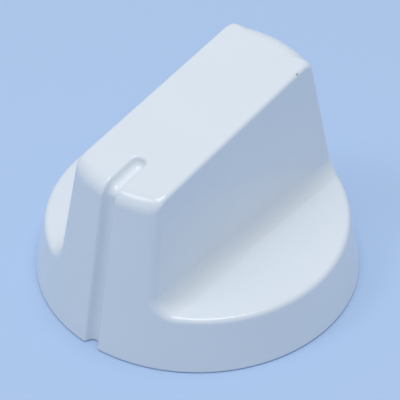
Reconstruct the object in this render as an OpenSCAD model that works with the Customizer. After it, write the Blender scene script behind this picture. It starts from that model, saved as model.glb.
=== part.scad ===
// Push-to-turn knob for a cooker: a round drafted skirt with a wedge-shaped finger grip,
// hollow underneath, with a split stem for a D-shaped spindle and a spring ring around it.
// Millimetres, +Z up, origin in the middle of the rim plane, pointer groove towards -Y.

/* [Skirt] */
// Diameter of the skirt at its rim
base_d = 42; // [38:0.5:48]
// Draft of the skirt's side, in degrees from the axis
skirt_draft = 9.65; // [7:0.05:11]
// Wall of the moulding
wall = 2.2; // [1.8:0.1:2.6]

/* [Grip] */
// Height of the grip's top face on the axis
grip_h = 26.2; // [23:0.1:30]
// Fall of the top face towards the pointer, in degrees
top_tilt = 7.7; // [4:0.1:10]
// Width of the grip at its top face
grip_w = 13.4; // [12:0.1:16]
// Draft of the grip's flat sides, in degrees
grip_draft = 4.2; // [2:0.1:6]
// Rounding over the two ends of the top face
end_round = 2.5; // [1.5:0.1:3.5]

/* [Finger recesses] */
// Height of the recess floor, taken at the rim's radius
floor_h = 7.8; // [6.5:0.1:10]
// Fall of the floor outwards, in degrees
floor_fall = 3; // [0.5:0.5:5]
// Rise of the floor towards the back, in degrees
floor_rise = 1.5; // [0:0.1:3]
// Radius of the hollow sweep from the grip's side to the floor
sweep_r = 3; // [2:0.1:4]
// Angle of the crease where the sweep meets the floor
crease = 21; // [10:1:30]

/* [Pointer groove] */
// Radius of the groove's round section
groove_r = 1.1; // [0.8:0.05:1.2]
// Depth of the groove
groove_depth = 1.25; // [1:0.05:1.4]
// Distance of the groove's round end from the axis
groove_reach = 12.3; // [9:0.1:13.5]

/* [Stem] */
// Diameter of the stem
stem_d = 10.6; // [9.8:0.1:11.4]
// Setback of the stem's end from the rim plane
stem_setback = 1; // [0.5:0.1:2]
// Diameter of the D-shaped hole
bore_d = 6.1; // [5.8:0.05:6.4]
// Distance from the hole's flat to its far side
bore_across = 4.7; // [4.4:0.05:5]
// Depth of the hole from the stem's end
bore_depth = 17; // [14:0.5:19]
// Extra diameter of the round mouth of the hole
mouth_extra = 0.5; // [0.4:0.05:0.6]
// Depth of the round mouth
mouth_depth = 4.5; // [4:0.1:6]
// Width of the slots that split the stem
slot_w = 1.2; // [0.8:0.1:1.6]
// Length of the slots
slot_len = 8.5; // [8:0.5:12]
// Thickness of the webs between the stem and the grip's ends
web_t = 1.4; // [1:0.1:2]
// Height of the webs' lower edge
web_z = 12; // [10:0.5:16]

/* [Spring ring] */
// Thickness of the ring's strip
ring_t = 0.8; // [0.5:0.1:1.2]
// Width of the strip
ring_w = 2.6; // [2:0.1:3.2]
// Opening of the ring, in degrees
ring_gap = 50; // [30:5:80]
// Depth of the ring's seat in the stem
seat_depth = 0.6; // [0.4:0.05:0.8]
// Shoulder of the stem below the seat
seat_shoulder = 1; // [0.6:0.1:1.4]
// Clearance of the ring in its seat
ring_clear = 0.05; // [0.02:0.01:0.1]

/* [Hidden] */
$fn = 96;
base_r = base_d / 2;
skirt_slope = tan(skirt_draft);
tilt_slope = tan(top_tilt);
// Margin by which cutting shapes pass the surfaces that they cut
over = 6;
cut_far = base_d;
apex_h = grip_h + base_r * tilt_slope + over;
// Sharp meeting of the skirt's cone with the top plane, at the pointer and at the back
edge_front = (base_r - skirt_slope * grip_h) / (1 - skirt_slope * tilt_slope);
edge_back = (base_r - skirt_slope * grip_h) / (1 + skirt_slope * tilt_slope);
edge_y = (edge_back - edge_front) / 2;
edge_r = (edge_back + edge_front) / 2 / cos(top_tilt);
// Angles between the skirt and the top face's normal
front_lean = skirt_draft + top_tilt;
back_lean = skirt_draft - top_tilt;
// The end rounding stops this many degrees early, so that it crosses the skirt cleanly
run_off = 10;
// The sweep bites this far into the grip's side, so that the two cross cleanly
bite = 0.01;
sweep_rise = sweep_r * cos(crease) / cos(floor_fall);
sweep_x = (grip_w / 2 + sweep_r / cos(grip_draft)
    + tan(grip_draft) * (grip_h - floor_h - base_r * tan(floor_fall) - sweep_rise))
    / (1 - tan(grip_draft) * tan(floor_fall));
sweep_z = floor_h + (base_r - sweep_x) * tan(floor_fall) + sweep_rise;
seat_z = stem_setback + seat_shoulder;
seat_r = stem_d / 2 - seat_depth;

// Radius, from the top face's middle, where the rounding of one end begins
function flat_r(lean) = edge_r - end_round * tan((90 - lean) / 2);

// Places its children on the top face, with Z along the face's normal
module on_top_face() {
    translate([0, edge_y, grip_h + edge_y * tilt_slope]) rotate([top_tilt, 0, 0]) children();
}

// Half of the rounded cap that trims the cone: flat top, round shoulder, leaning flare
module cap_half(lean, first_angle) {
    turn = 90 - lean - run_off;
    start = flat_r(lean);
    shoulder = [start + end_round * sin(turn), -end_round * (1 - cos(turn))];
    flare = apex_h + over;
    rotate_extrude(angle = 180, start = first_angle) union() {
        polygon([
            [0, 0], [start, 0], [start, -end_round], shoulder,
            shoulder + flare * [1 / tan(turn), -1], [0, shoulder[1] - flare]
        ]);
        translate([start, -end_round]) circle(end_round);
    }
}

// The drafted cone of the skirt up to the tilted, rounded top
module outer_form() {
    intersection() {
        cylinder(h = apex_h, r1 = base_r, r2 = base_r - apex_h * skirt_slope);
        on_top_face() union() {
            cap_half(front_lean, 180);
            cap_half(back_lean, 0);
        }
    }
}

// The same cone and top plane, one wall further in
module inner_form() {
    inset = wall / cos(skirt_draft);
    intersection() {
        translate([0, 0, -over]) cylinder(
            h = apex_h + over,
            r1 = base_r - inset + over * skirt_slope,
            r2 = base_r - inset - apex_h * skirt_slope
        );
        on_top_face() translate([-cut_far, -cut_far, -wall - 2 * cut_far])
            cube([2 * cut_far, 2 * cut_far, 2 * cut_far]);
    }
}

// Section of one finger recess, or of the core behind it when it is grown by the wall
module recess_section(grow) {
    radius = sweep_r + grow;
    wall_top = apex_h + over;
    wall_x = grip_w / 2 + tan(grip_draft) * (grip_h - wall_top) - grow / cos(grip_draft);
    touch_z = sweep_z - radius * sin(grip_draft);
    touch_x = sweep_x - radius * cos(grip_draft);
    floor_0 = floor_h + base_r * tan(floor_fall) - grow / cos(floor_fall);
    intersection() {
        polygon([
            [0, floor_0], [cut_far, floor_0 - cut_far * tan(floor_fall)],
            [cut_far, wall_top], [0, wall_top]
        ]);
        union() {
            polygon([
                [touch_x, touch_z], [sweep_x, sweep_z], [sweep_x, -over],
                [cut_far, -over], [cut_far, wall_top], [wall_x, wall_top]
            ]);
            translate([sweep_x - bite, sweep_z]) circle(radius);
        }
    }
}

// Both finger recesses, or the cores behind them
module recesses(grow) {
    for (side = [0, 1]) mirror([side, 0, 0])
        rotate([90 + floor_rise, 0, 0]) linear_extrude(height = 2 * cut_far, center = true)
            recess_section(grow);
}

// Round section of the pointer groove, with the surface that it is cut into at y = 0
module groove_section() {
    translate([0, groove_r - groove_depth]) circle(groove_r);
}

// The groove runs along the top face, over its rounded end and down the skirt to the rim
module pointer_groove() {
    bend = flat_r(front_lean);
    reach = (groove_reach + edge_y) / cos(top_tilt);
    turn = 90 - front_lean;
    on_top_face() {
        translate([0, -reach, 0]) rotate_extrude(angle = 180) intersection() {
            groove_section();
            translate([0, -over]) square(2 * over);
        }
        translate([0, -reach, 0]) rotate([90, 0, 0]) linear_extrude(bend - reach) groove_section();
        translate([0, -bend, -end_round]) {
            rotate([180, -90, 0]) rotate_extrude(angle = turn)
                translate([end_round, 0]) rotate(-90) groove_section();
            rotate([turn, 0, 0]) translate([0, 0, end_round])
                rotate([90, 0, 0]) linear_extrude(apex_h + over) groove_section();
        }
    }
}

// Stem that carries the spindle, joined to the roof and the flat sides of the grip
module stem() {
    translate([0, 0, stem_setback]) cylinder(h = grip_h, d = stem_d);
}

// Upright webs in the grip, from the stem to both ends
module webs() {
    translate([-web_t / 2, -cut_far / 2, web_z]) cube([web_t, cut_far, grip_h]);
}

// Everything inside the moulding that isn't plastic
module hollow() {
    difference() {
        inner_form();
        recesses(wall);
        stem();
        webs();
    }
}

// D-shaped hole with a round mouth, the flat towards the back
module spindle_hole() {
    flat_y = bore_across - bore_d / 2;
    mouth_r = (bore_d + mouth_extra) / 2;
    translate([0, 0, stem_setback]) {
        translate([0, 0, -over]) cylinder(h = over + mouth_depth, r = mouth_r);
        difference() {
            cylinder(h = bore_depth, d = bore_d);
            translate([-bore_d, flat_y, -over]) cube([2 * bore_d, bore_d, bore_depth + 2 * over]);
        }
    }
}

// Cross slots that let the stem's two halves spring, and the ring's seat around them
module stem_cuts() {
    translate([-stem_d / 2, -slot_w / 2, -over]) cube([stem_d, slot_w, over + stem_setback + slot_len]);
    translate([0, 0, seat_z]) difference() {
        cylinder(h = ring_w + 2 * ring_clear, d = stem_d + ring_t);
        translate([0, 0, -over]) cylinder(h = ring_w + 2 * over, r = seat_r);
    }
}

module knob_body() {
    color("whitesmoke") difference() {
        outer_form();
        recesses(0);
        pointer_groove();
        hollow();
        spindle_hole();
        stem_cuts();
    }
}

module shaft_clip() {
    inner = seat_r + ring_clear;
    color("silver") translate([0, 0, seat_z + ring_clear])
        rotate_extrude(angle = 360 - ring_gap, start = 90 + ring_gap / 2)
            translate([inner, 0]) square([ring_t, ring_w]);
}

knob_body();
shaft_clip();
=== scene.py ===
import math

import bmesh
import bpy
import numpy as np
from mathutils import Matrix, Vector


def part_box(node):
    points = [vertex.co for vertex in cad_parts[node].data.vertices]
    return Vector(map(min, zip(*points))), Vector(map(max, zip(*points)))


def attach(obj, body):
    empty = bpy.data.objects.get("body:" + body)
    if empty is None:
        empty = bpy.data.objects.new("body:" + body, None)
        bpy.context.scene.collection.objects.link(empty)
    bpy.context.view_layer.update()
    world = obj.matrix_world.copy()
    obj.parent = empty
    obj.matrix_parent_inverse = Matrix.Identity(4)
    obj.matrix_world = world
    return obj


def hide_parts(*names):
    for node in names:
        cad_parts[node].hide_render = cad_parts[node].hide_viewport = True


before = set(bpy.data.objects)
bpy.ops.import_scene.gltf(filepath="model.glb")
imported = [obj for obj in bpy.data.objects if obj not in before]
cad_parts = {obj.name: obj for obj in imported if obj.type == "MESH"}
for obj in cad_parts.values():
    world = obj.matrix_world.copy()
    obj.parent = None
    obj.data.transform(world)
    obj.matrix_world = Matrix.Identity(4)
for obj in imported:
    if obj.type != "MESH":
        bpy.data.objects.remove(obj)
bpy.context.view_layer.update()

MM = 0.001
clip_low, clip_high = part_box("shaft_clip")

# The moulding, in millimetres: +Z up from the rim plane, the pointer groove towards -Y
RIM_RADIUS = 21.0
SKIRT_DRAFT = math.radians(9.65)
GRIP_HEIGHT = 26.2
TOP_TILT = math.radians(7.7)
GRIP_HALF_WIDTH = 6.7
GRIP_DRAFT = math.radians(4.2)
FLOOR_HEIGHT = 7.8
FLOOR_FALL = math.radians(3)
FLOOR_RISE = math.radians(1.5)
SWEEP_RADIUS = 2.8
# The sweep ends this far below the floor, so that a crease shows where they meet
CREASE_STEP = 0.22
# In front of the middle the step, and with it the crease, fades out over this length
CREASE_FADE = 5.0
WALL = 2.2

# Edge roundings of the moulding
END_ROUND = 2.5
LONG_ROUND = 0.6
UPRIGHT_ROUND = 1.5
RECESS_ROUND = 0.78
RIM_ROUND = 0.3
CREASE_SOFT = 0.05
# Half the width over which the long edges' rounding grows into the ends' rounding
CORNER_BLEND = 1.6

# The pointer groove
GROOVE_BOTTOM = 0.9
GROOVE_DEPTH = 1.2
GROOVE_FLANK = math.radians(18)
GROOVE_LIP = 0.4
GROOVE_REACH = 12.3

# The spring ring
STRIP_THICKNESS = 0.8
STRIP_EDGE = 0.15
RING_OPENING = math.radians(50)

# The brown speck on the right edge of the top face
SPECK_PLACE = Vector((6.5, 11.9, 27.7)) * MM
SPECK_CORE = 0.10 * MM
SPECK_RIM = 0.30 * MM

# Rays that trace the outside start at this height on the axis, where every ray meets it once
RAY_START = 3.0
RAY_LENGTH = 40.0
HALVINGS = 26

# Columns of the outside in half a turn, and rows from the pole to the top edge, the crease, the
# recess rim and the rim plane
COLUMNS = 230
BANDS = (44, 36, 24, 34)
SAMPLES_PER_BAND = 160
BEND_WEIGHT = 0.9
SMOOTHINGS = 3

# Camera and light
CAMERA_AZIMUTH = math.radians(40.75)
CAMERA_ELEVATION = math.radians(41.47)
CAMERA_DISTANCE = 600
CAMERA_SIDE = 0.303
CAMERA_LIFT = 8.05
CAMERA_ROLL = math.radians(-0.23)
PIXELS_PER_MM = 7.71
PICTURE = 400
SENSOR = 36


def ease(low, high, value):
    """0 below low, 1 above high and a smooth step between them."""
    t = np.clip((value - low) / (high - low), 0.0, 1.0)
    return t * t * (3 - 2 * t)


def cut_both(a, b, cosine, radius):
    """Distance to what lies inside both a and b, its edge rounded by a true arc."""
    along, across = a + radius, b + radius
    on_arc = (along > cosine * across) & (across > cosine * along)
    spread = np.maximum(1 - cosine * cosine, 1e-4)
    reach = np.sqrt(np.maximum(along**2 + across**2 - 2 * cosine * along * across, 0) / spread)
    return np.where(on_arc, reach - radius, np.maximum(a, b))


def join_both(a, b, cosine, radius):
    """Distance to what lies inside either a or b, its hollow corner filled by a true arc."""
    return -cut_both(-a, -b, cosine, radius)


def soft_low(a, b, width):
    """The lower of a and b, with the change from one to the other softened."""
    near = np.maximum(width - np.abs(a - b), 0) / width
    return np.minimum(a, b) - near * near * width / 4


def dot(one, other):
    return one[0] * other[0] + one[1] * other[1] + one[2] * other[2]


def lean(one, other, share):
    """The unit direction between two, with share 0 giving the first."""
    mixed = [p + (q - p) * share for p, q in zip(one, other)]
    size = np.sqrt(dot(mixed, mixed))
    return [m / size for m in mixed]


def shell_distance(x, y, z):
    """Signed distance to the moulding without its groove and its underside, in millimetres."""
    side = np.abs(x)
    radius = np.hypot(x, y) + 1e-9
    cone = (radius - RIM_RADIUS + math.tan(SKIRT_DRAFT) * z) * math.cos(SKIRT_DRAFT)
    cone_out = [
        side / radius * math.cos(SKIRT_DRAFT),
        y / radius * math.cos(SKIRT_DRAFT),
        math.sin(SKIRT_DRAFT),
    ]
    top = (z - GRIP_HEIGHT - math.tan(TOP_TILT) * y) * math.cos(TOP_TILT)
    top_out = [0, -math.sin(TOP_TILT), math.cos(TOP_TILT)]
    grip = (side - GRIP_HALF_WIDTH - math.tan(GRIP_DRAFT) * (GRIP_HEIGHT - z)) * math.cos(GRIP_DRAFT)
    grip_out = [math.cos(GRIP_DRAFT), 0, math.sin(GRIP_DRAFT)]
    fall, rise = math.tan(FLOOR_FALL), math.tan(FLOOR_RISE)
    floor_size = math.sqrt(1 + fall * fall + rise * rise)
    floor = (z - FLOOR_HEIGHT - fall * (RIM_RADIUS - side) - rise * y) / floor_size
    floor_out = [fall / floor_size, -rise / floor_size, 1 / floor_size]
    step = CREASE_STEP * ease(-CREASE_FADE, 0.0, y)
    sweep = join_both(grip, floor + step, dot(grip_out, floor_out), SWEEP_RADIUS)
    inner = soft_low(sweep, floor, CREASE_SOFT)
    on_grip = ease(-SWEEP_RADIUS, SWEEP_RADIUS, floor - grip)
    inner_out = lean(floor_out, grip_out, on_grip)
    edge = RECESS_ROUND + (UPRIGHT_ROUND - RECESS_ROUND) * on_grip
    sides = cut_both(cone, inner, dot(cone_out, inner_out), edge)
    at_end = ease(-CORNER_BLEND, CORNER_BLEND, cone - grip)
    sides_out = lean(inner_out, cone_out, at_end)
    shoulder = LONG_ROUND + (END_ROUND - LONG_ROUND) * at_end
    return cut_both(sides, top, dot(sides_out, top_out), shoulder)


def groove_distance(x, y, depth):
    """Signed distance to the groove's channel, for points at a depth below the surface."""
    end = np.maximum(y + GROOVE_REACH - GROOVE_BOTTOM, 0) / math.cos(TOP_TILT)
    across = np.hypot(x, end)
    below = depth - (GROOVE_DEPTH - GROOVE_BOTTOM)
    flank = across * math.cos(GROOVE_FLANK) + below * math.sin(GROOVE_FLANK)
    on_bottom = below * math.cos(GROOVE_FLANK) > across * math.sin(GROOVE_FLANK)
    return np.where(on_bottom, np.hypot(across, below), flank) - GROOVE_BOTTOM


def knob_distance(x, y, z):
    """Signed distance to the whole outside of the moulding, down to the rim plane."""
    shell = shell_distance(x, y, z)
    groove = groove_distance(x, y, -shell)
    grooved = cut_both(shell, -groove, math.sin(GROOVE_FLANK), GROOVE_LIP)
    return cut_both(grooved, -z, -math.sin(SKIRT_DRAFT), RIM_ROUND)


def trace(turn, climb):
    """Points where the rays from the start, at these angles round and up, leave the moulding."""
    out_x = np.sin(turn) * np.cos(climb)
    out_y = -np.cos(turn) * np.cos(climb)
    out_z = np.sin(climb)
    near, far = np.zeros_like(out_z), np.full_like(out_z, RAY_LENGTH)
    for _ in range(HALVINGS):
        middle = (near + far) / 2
        inside = knob_distance(out_x * middle, out_y * middle, RAY_START + out_z * middle) < 0
        near, far = np.where(inside, middle, near), np.where(inside, far, middle)
    reach = (near + far) / 2
    return np.stack([out_x * reach, out_y * reach, RAY_START + out_z * reach], -1)


def spread(density, count, low, high):
    """count + 1 values from low to high, closer together where density is high."""
    fine = np.linspace(low, high, 4001)
    total = np.concatenate([[0], np.cumsum((density(fine[1:]) + density(fine[:-1])) / 2)])
    return np.interp(np.linspace(0, total[-1], count + 1), total, fine)


def column_density(turn):
    """How closely the columns lie, for an angle round from the pointer, in degrees."""
    bumps = (
        # centre, half width and extra density of each place that needs close columns
        (3.6, 3.2, 7.0),
        (24.1, 4.5, 4.0),
        (31.0, 4.0, 1.5),
        (149.0, 4.0, 1.5),
        (155.9, 4.5, 4.0),
    )
    return 1 + sum(extra * np.exp(-(((turn - centre) / width) ** 2)) for centre, width, extra in bumps)


def landmarks(turn):
    """Angles up to the rows that every column shares: top edge, crease, recess rim and rim plane."""
    sine, cosine = np.sin(turn), -np.cos(turn)
    tangent = math.tan(SKIRT_DRAFT)

    def angle_up(radius, height):
        return np.arctan2(height - RAY_START, radius)

    # Where the top plane meets the cone or the side of the grip, whichever is nearer
    rise = math.tan(TOP_TILT) * cosine
    cone_top = (RIM_RADIUS - tangent * GRIP_HEIGHT) / (1 + tangent * rise)
    grip_top = GRIP_HALF_WIDTH / np.maximum(sine + math.tan(GRIP_DRAFT) * rise, 1e-6)
    edge_radius = np.minimum(cone_top, grip_top)
    edge = angle_up(edge_radius, GRIP_HEIGHT + rise * edge_radius)
    # The recess floor along this column: height = base + slope * radius
    base = FLOOR_HEIGHT + math.tan(FLOOR_FALL) * RIM_RADIUS
    slope = math.tan(FLOOR_RISE) * cosine - math.tan(FLOOR_FALL) * sine
    rim_radius = (RIM_RADIUS - tangent * base) / (1 + tangent * slope)
    rim = angle_up(rim_radius, base + slope * rim_radius)
    crease_radius = np.minimum(crease_distance() / np.maximum(sine, 1e-6), rim_radius)
    crease = angle_up(crease_radius, base + slope * crease_radius)
    # Where the crease has run out at the rim, its row stays a little way above the rim's row
    crease = np.maximum(crease, rim + math.radians(3.5))
    foot = np.full_like(turn, math.atan2(-RAY_START, RIM_RADIUS - RIM_ROUND))
    return [np.full_like(turn, math.pi / 2), edge, crease, rim, foot]


def crease_distance():
    """Distance from the middle plane of the line where the sweep meets the floor."""
    fall = math.tan(FLOOR_FALL)
    lift = SWEEP_RADIUS - CREASE_STEP
    centre = GRIP_HALF_WIDTH + SWEEP_RADIUS / math.cos(GRIP_DRAFT) + math.tan(GRIP_DRAFT) * (
        GRIP_HEIGHT - FLOOR_HEIGHT - fall * RIM_RADIUS / 2 - lift
    )
    return centre - math.sqrt(SWEEP_RADIUS**2 - lift**2)


def row_angles(turn):
    """Angles up of every row on every column: even along the surface, closer where it turns."""
    marks = landmarks(turn)
    rows = [marks[0][:, None]]
    steps = np.linspace(0, 1, SAMPLES_PER_BAND + 1)
    for upper, lower, count in zip(marks, marks[1:], BANDS):
        climb = upper[:, None] + (lower - upper)[:, None] * steps
        points = trace(np.broadcast_to(turn[:, None], climb.shape), climb)
        stretch = np.diff(points, axis=1)
        length = np.linalg.norm(stretch, axis=2)
        heading = stretch / np.maximum(length, 1e-9)[..., None]
        bend = np.arccos(np.clip((heading[:, 1:] * heading[:, :-1]).sum(-1), -1, 1))
        bend = np.pad(bend, ((0, 0), (0, 1)))
        bend[:, 1:-1] = (bend[:, :-2] + bend[:, 1:-1] + bend[:, 2:]) / 3
        weight = length / length.sum(1, keepdims=True) + BEND_WEIGHT * bend
        total = np.pad(np.cumsum(weight, axis=1), ((0, 0), (1, 0)))
        wanted = np.linspace(0, 1, count + 1)[1:]
        band = np.stack([np.interp(wanted * t[-1], t, c) for t, c in zip(total, climb)])
        share = (band - upper[:, None]) / (lower - upper)[:, None]
        for _ in range(SMOOTHINGS):
            padded = np.pad(share, ((1, 1), (0, 0)), mode="edge")
            share = (padded[:-2] + 2 * share + padded[2:]) / 4
        rows.append(upper[:, None] + (lower - upper)[:, None] * share)
    return np.concatenate(rows, axis=1)


def outside_grid():
    """Points of the outside on a grid of columns all the way round and rows from the top down."""
    half = np.radians(spread(column_density, COLUMNS, 0.0, 180.0))
    climb = row_angles(half)
    points = trace(np.broadcast_to(half[:, None], climb.shape), climb)
    # The first and the last column lie in the middle plane
    points[0, :, 0] = 0
    points[-1, :, 0] = 0
    mirrored = points[-2:0:-1] * [-1, 1, 1]
    return np.concatenate([points, mirrored])


def surface_normals(points):
    """Outward directions at points of the outside, from the distance's slope."""
    step = 1e-3
    slope = []
    for axis in range(3):
        shift = np.zeros(3)
        shift[axis] = step
        ahead = knob_distance(*np.moveaxis(points + shift, -1, 0))
        behind = knob_distance(*np.moveaxis(points - shift, -1, 0))
        slope.append(ahead - behind)
    normals = np.stack(slope, -1)
    return normals / np.maximum(np.linalg.norm(normals, axis=-1, keepdims=True), 1e-12)


def underside_faces():
    """The CAD moulding's inner faces, merged: the hollow, the stem, its hole and the webs."""
    bm = bmesh.new()
    bm.from_mesh(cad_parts["knob_body"].data)
    bmesh.ops.remove_doubles(bm, verts=bm.verts, dist=1e-7)
    outer = []
    for face in bm.faces:
        centre = face.calc_center_median() / MM
        depth = -float(shell_distance(np.array(centre.x), np.array(centre.y), np.array(centre.z)))
        on_rim = all(abs(v.co.z) < 1e-6 for v in face.verts)
        if depth < WALL * 0.7 or on_rim:
            outer.append(face)
    bmesh.ops.delete(bm, geom=outer, context="FACES")
    loose = [v for v in bm.verts if not v.link_faces]
    bmesh.ops.delete(bm, geom=loose, context="VERTS")
    return bm


def knob_body():
    """The whole moulding as one closed mesh: traced outside, flat rim, and the CAD underside."""
    grid = outside_grid()
    columns, rows = grid.shape[:2]
    bm = underside_faces()
    inner_edges = [e for e in bm.edges if e.is_boundary]
    pole = bm.verts.new(Vector(grid[0, 0]) * MM)
    rings = [[bm.verts.new(Vector(grid[c, r]) * MM) for c in range(columns)] for r in range(1, rows)]
    for c in range(columns):
        n = (c + 1) % columns
        bm.faces.new((pole, rings[0][c], rings[0][n]))
        for upper, lower in zip(rings, rings[1:]):
            bm.faces.new((upper[c], lower[c], lower[n], upper[n]))
    foot = rings[-1]
    foot_edges = [bm.edges.get((foot[c], foot[(c + 1) % columns])) for c in range(columns)]
    bmesh.ops.bridge_loops(bm, edges=foot_edges + inner_edges)
    bmesh.ops.recalc_face_normals(bm, faces=bm.faces)
    bm.verts.index_update()
    first_outside = pole.index
    mesh = bpy.data.meshes.new("moulding")
    bm.to_mesh(mesh)
    bm.free()
    mesh.shade_smooth()
    mesh.set_sharp_from_angle(angle=math.radians(28))
    point_outside(mesh, first_outside)
    obj = bpy.data.objects.new("moulding", mesh)
    bpy.context.collection.objects.link(obj)
    return obj


def point_outside(mesh, first_outside):
    """Takes the outside's shading directions from the form itself, so that flat faces stay flat."""
    co = np.empty(len(mesh.vertices) * 3)
    mesh.vertices.foreach_get("co", co)
    co = co.reshape(-1, 3) / MM
    exact = surface_normals(co)
    corner = np.empty(len(mesh.loops) * 3, np.float32)
    mesh.corner_normals.foreach_get("vector", corner)
    corner = corner.reshape(-1, 3)
    vertex = np.empty(len(mesh.loops), np.int32)
    mesh.loops.foreach_get("vertex_index", vertex)
    corners = np.empty(len(mesh.polygons), np.int32)
    mesh.polygons.foreach_get("loop_total", corners)
    face_of = np.repeat(np.arange(len(mesh.polygons)), corners)
    # The flat rim that the knob rests on keeps its own direction
    on_rim = np.ones(len(mesh.polygons), bool)
    np.logical_and.at(on_rim, face_of, np.abs(co[vertex, 2]) < 1e-4)
    outside = (vertex >= first_outside) & ~on_rim[face_of]
    corner[outside] = exact[vertex[outside]]
    mesh.normals_split_custom_set(corner.tolist())


class Socket:
    """A number in a shader tree. Sums and products with it add Math nodes."""

    def __init__(self, finish, socket):
        self.finish = finish
        self.socket = socket

    def __add__(self, other):
        return self.finish.maths("ADD", self, other)

    def __sub__(self, other):
        return self.finish.maths("SUBTRACT", self, other)

    def __mul__(self, other):
        return self.finish.maths("MULTIPLY", self, other)

    def __rsub__(self, other):
        return self.finish.maths("SUBTRACT", other, self)

    __radd__ = __add__
    __rmul__ = __mul__


class Finish:
    """A material whose node tree is built from Python expressions."""

    def __init__(self, name):
        self.material = bpy.data.materials.new(name)
        self.material.use_nodes = True
        self.tree = self.material.node_tree
        self.shader = self.tree.nodes["Principled BSDF"]
        self.place = self.node("TexCoord").outputs["Object"]

    def node(self, kind, settings=None, **sockets):
        """Adds a node, applies its settings and then fills its sockets, named as Blender names them."""
        made = self.tree.nodes.new("ShaderNode" + kind)
        for key, value in (settings or {}).items():
            setattr(made, key, value)
        for key, value in sockets.items():
            index = int(key[1:]) if key[1:].isdigit() else key.replace("_", " ")
            self.feed(made.inputs[index], value)
        return made

    def feed(self, socket, value):
        if isinstance(value, Socket):
            value = value.socket
        if isinstance(value, bpy.types.NodeSocket):
            self.tree.links.new(value, socket)
        else:
            socket.default_value = value

    def maths(self, operation, *values):
        sockets = {f"s{i}": v for i, v in enumerate(values)}
        return Socket(self, self.node("Math", {"operation": operation}, **sockets).outputs[0])

    def mix(self, factor, one, other):
        """A colour between two."""
        made = self.node("Mix", {"data_type": "RGBA"}, s0=factor, s6=one, s7=other)
        return made.outputs[2]

    def noise(self, scale, detail=2.0, roughness=0.5, place=None):
        made = self.node(
            "TexNoise", Vector=place or self.place, Scale=scale, Detail=detail, Roughness=roughness
        )
        return Socket(self, made.outputs["Fac"])

    def distance(self, point):
        made = self.node("VectorMath", {"operation": "DISTANCE"}, s0=self.place, s1=point)
        return Socket(self, made.outputs["Value"])

    def step(self, value, low, high):
        """0 where the value is below low, 1 above high, smooth between."""
        made = self.node(
            "MapRange", {"interpolation_type": "SMOOTHSTEP"}, Value=value, From_Min=low, From_Max=high
        )
        return Socket(self, made.outputs["Result"])

    def surface(self, **sockets):
        for key, value in sockets.items():
            self.feed(self.shader.inputs[key.replace("_", " ")], value)
        return self.material


def tint(red, green, blue):
    """A colour given as a screen shows it, 0 to 255, turned into the linear one that shaders use."""
    def linear(value):
        value /= 255
        return value / 12.92 if value <= 0.04045 else ((value + 0.055) / 1.055) ** 2.4

    return (linear(red), linear(green), linear(blue), 1.0)


def moulding_finish():
    """Glossy white plastic: faint cloudiness, a very fine ripple and a speck on one corner."""
    finish = Finish("moulding_white")
    clouds = finish.noise(90, detail=3)
    white = finish.mix(clouds, tint(233, 237, 241), tint(238, 242, 246))
    speck = 1 - finish.step(finish.distance(SPECK_PLACE), SPECK_CORE, SPECK_RIM)
    colour = finish.mix(speck * 0.6, white, tint(140, 110, 90))
    smears = finish.noise(260, detail=4, roughness=0.6)
    rough = smears * 0.06 + 0.13 + speck * 0.3
    ripple = finish.noise(420, detail=1)
    grain = finish.noise(5200, detail=2)
    relief = finish.node("Bump", Strength=0.35, Distance=0.00002, Height=ripple + grain * 0.12)
    return finish.surface(Base_Color=colour, Roughness=rough, Normal=relief.outputs[0], IOR=1.49)


def spring_finish():
    """Spring steel with rolling lines that run along the strip."""
    finish = Finish("spring_steel")
    parts = finish.node("SeparateXYZ", Vector=finish.place)
    turn = finish.maths("ARCTAN2", Socket(finish, parts.outputs[1]), Socket(finish, parts.outputs[0]))
    height = Socket(finish, parts.outputs[2]) * 30000
    lines = finish.node("CombineXYZ", X=turn * 3, Y=height, Z=0.0)
    streaks = finish.noise(1.0, detail=3, place=lines.outputs[0])
    stains = finish.noise(700, detail=3)
    colour = finish.mix(streaks * 0.6 + stains * 0.4, tint(150, 152, 154), tint(205, 206, 206))
    relief = finish.node("Bump", Strength=0.25, Distance=0.00002, Height=streaks)
    return finish.surface(
        Base_Color=colour, Roughness=streaks * 0.16 + 0.24, Metallic=1.0, Normal=relief.outputs[0]
    )


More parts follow.
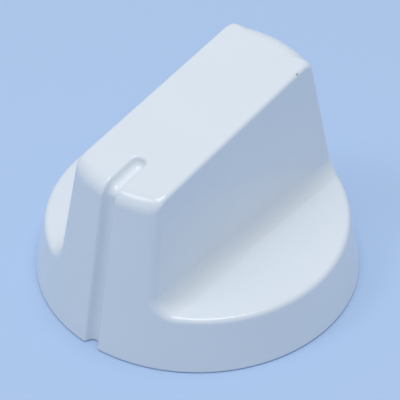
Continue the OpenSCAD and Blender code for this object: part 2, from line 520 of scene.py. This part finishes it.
def shaft_clip(material):
    """The spring ring, a strip with rounded edges bent round the stem."""
    tree = bpy.data.node_groups.new("bent_strip", "GeometryNodeTree")
    face = tree.interface
    face.new_socket("Geometry", in_out="OUTPUT", socket_type="NodeSocketGeometry")
    sizes = {
        "Mid Radius": (clip_high.x - clip_low.x - STRIP_THICKNESS * MM) / 2,
        "Thickness": STRIP_THICKNESS * MM,
        "Width": clip_high.z - clip_low.z,
        "Opening": RING_OPENING,
        "Edge Round": STRIP_EDGE * MM,
        "Height": (clip_high.z + clip_low.z) / 2,
    }
    for name in sizes:
        face.new_socket(name, in_out="INPUT", socket_type="NodeSocketFloat")

    def node(kind, settings=None, **links):
        made = tree.nodes.new(kind)
        for key, value in (settings or {}).items():
            setattr(made, key, value)
        for key, value in links.items():
            socket = made.inputs[key.replace("_", " ")]
            if isinstance(value, bpy.types.NodeSocket):
                tree.links.new(value, socket)
            else:
                socket.default_value = value
        return made

    inputs = node("NodeGroupInput").outputs
    half_gap = node("ShaderNodeMath", {"operation": "MULTIPLY"}, Value=inputs["Opening"])
    half_gap.inputs[1].default_value = 0.5
    start = node("ShaderNodeMath", {"operation": "ADD"}, Value=half_gap.outputs[0])
    start.inputs[1].default_value = math.pi / 2
    sweep = node("ShaderNodeMath", {"operation": "SUBTRACT"})
    sweep.inputs[0].default_value = 2 * math.pi
    tree.links.new(inputs["Opening"], sweep.inputs[1])
    arc = node(
        "GeometryNodeCurveArc",
        Resolution=97,
        Radius=inputs["Mid Radius"],
        Start_Angle=start.outputs[0],
        Sweep_Angle=sweep.outputs[0],
    )
    upright = node("GeometryNodeSetCurveNormal", {"mode": "Z_UP"}, Curve=arc.outputs[0])
    strip = node(
        "GeometryNodeCurvePrimitiveQuadrilateral", Width=inputs["Thickness"], Height=inputs["Width"]
    )
    rounded = node(
        "GeometryNodeFilletCurve", {"mode": "POLY"}, Curve=strip.outputs[0], Radius=inputs["Edge Round"]
    )
    rounded.inputs["Count"].default_value = 3
    swept = node(
        "GeometryNodeCurveToMesh",
        Curve=upright.outputs[0],
        Profile_Curve=rounded.outputs[0],
        Fill_Caps=True,
    )
    lift = node("ShaderNodeCombineXYZ", Z=inputs["Height"])
    seated = node("GeometryNodeTransform", Geometry=swept.outputs[0], Translation=lift.outputs[0])
    real = node("GeometryNodeRealizeInstances", Geometry=seated.outputs[0])
    painted = node("GeometryNodeSetMaterial", Geometry=real.outputs[0], Material=material)
    node("NodeGroupOutput", Geometry=painted.outputs[0])

    holder = bpy.data.objects.new("bent_strip", bpy.data.meshes.new("bent_strip"))
    bpy.context.collection.objects.link(holder)
    modifier = holder.modifiers.new("bend", "NODES")
    modifier.node_group = tree
    for item in face.items_tree:
        if item.name in sizes:
            modifier[item.identifier] = sizes[item.name]
    graph = bpy.context.evaluated_depsgraph_get()
    mesh = bpy.data.meshes.new_from_object(holder.evaluated_get(graph))
    bpy.data.objects.remove(holder)
    mesh.shade_smooth()
    mesh.set_sharp_from_angle(angle=math.radians(35))
    obj = bpy.data.objects.new("spring_ring", mesh)
    bpy.context.collection.objects.link(obj)
    return obj


def studio():
    """Plain pale floor and soft light from above."""
    bpy.ops.mesh.primitive_plane_add(size=6)
    floor = bpy.context.object
    floor.name = "studio_floor"
    finish = Finish("studio_floor")
    floor.data.materials.append(finish.surface(Base_Color=tint(186, 209, 240), Roughness=0.9))
    world = bpy.data.worlds.new("studio")
    bpy.context.scene.world = world
    world.use_nodes = True
    back = world.node_tree.nodes["Background"]
    back.inputs["Color"].default_value = tint(222, 236, 252)
    back.inputs["Strength"].default_value = 0.5
    lamp("overhead", (0.02, 0.0, 0.6), 0.32, 1.5)
    lamp("front_left", (-0.22, -0.31, 0.6), 0.2, 0.45)


def lamp(name, place, size, power):
    """A square soft lamp that faces the knob."""
    data = bpy.data.lights.new(name, "AREA")
    data.size = size
    data.energy = power
    obj = bpy.data.objects.new(name, data)
    obj.location = place
    obj.rotation_mode = "QUATERNION"
    obj.rotation_quaternion = (-Vector(place)).to_track_quat("-Z", "Y")
    bpy.context.collection.objects.link(obj)


def camera():
    """The camera at the photograph's angle, its lens without shift."""
    a, e = CAMERA_AZIMUTH, CAMERA_ELEVATION
    back = Vector((math.sin(a) * math.cos(e), -math.cos(a) * math.cos(e), math.sin(e)))
    right = Vector((math.cos(a), math.sin(a), 0))
    up = back.cross(right)
    data = bpy.data.cameras.new("camera")
    data.sensor_width = SENSOR
    data.lens = PIXELS_PER_MM * CAMERA_DISTANCE / PICTURE * SENSOR
    data.clip_start, data.clip_end = 0.05, 20
    obj = bpy.data.objects.new("camera", data)
    turn = Matrix((right, up, back)).transposed().to_4x4()
    place = (back * CAMERA_DISTANCE + right * CAMERA_SIDE + up * CAMERA_LIFT) * MM
    obj.matrix_world = Matrix.Translation(place) @ turn @ Matrix.Rotation(CAMERA_ROLL, 4, "Z")
    bpy.context.collection.objects.link(obj)
    bpy.context.scene.camera = obj


camera()
studio()
bpy.context.scene.view_settings.view_transform = "Standard"

moulding = knob_body()
moulding.data.materials.append(moulding_finish())
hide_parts("knob_body")
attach(moulding, "root")

ring = shaft_clip(spring_finish())
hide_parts("shaft_clip")
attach(ring, "root")
